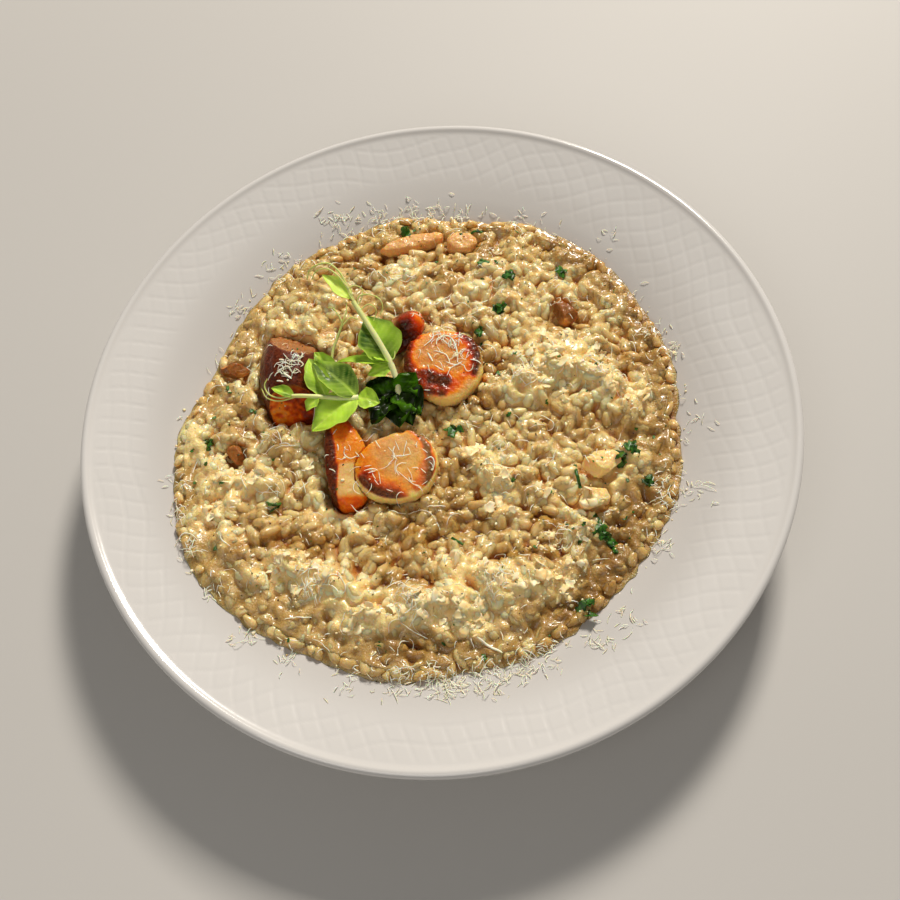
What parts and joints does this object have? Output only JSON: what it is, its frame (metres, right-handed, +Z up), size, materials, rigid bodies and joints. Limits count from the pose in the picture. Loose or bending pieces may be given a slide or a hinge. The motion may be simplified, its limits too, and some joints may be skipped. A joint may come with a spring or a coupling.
{
  "type": "plated mushroom risotto",
  "caption": "Creamy mushroom risotto heaped on a wide-rimmed deep porcelain plate, topped with seared mushroom slices, pea shoots, grated cheese and chopped herbs.",
  "frame": {"origin": "on the table, under the middle of the plate", "axes": "+Z up; the person who eats sits on the -Y side, and +X is their right"},
  "size_m": [0.28, 0.28, 0.0584],
  "materials": {
    "porcelain": "gloss",
    "risotto": "satin",
    "seared_mushroom": "satin",
    "mushroom_skin": "satin",
    "pale_mushroom": "satin",
    "browned_mushroom": "satin",
    "pea_shoot": "satin",
    "grated_cheese": "satin",
    "chopped_herb": "satin",
    "ground_pepper": "matte"
  },
  "bodies": {
    "root": {"plate": "porcelain", "risotto": "risotto", "mushroom_cap_wedge": "mushroom_skin", "mushroom_slice_right": "seared_mushroom", "mushroom_slice_front": "seared_mushroom", "mushroom_wedge_back": "seared_mushroom", "mushroom_wedge_front": "seared_mushroom", "mushroom_strip_back": "pale_mushroom", "mushroom_strip_back_right": "pale_mushroom", "mushroom_dice_right": "pale_mushroom", "mushroom_dice_front_right": "pale_mushroom", "mushroom_chip_right": "browned_mushroom", "mushroom_chip_left": "browned_mushroom", "mushroom_chip_front_left": "browned_mushroom", "pea_shoot_tall": "pea_shoot", "pea_shoot_side": "pea_shoot"}
  },
  "joints": []
}
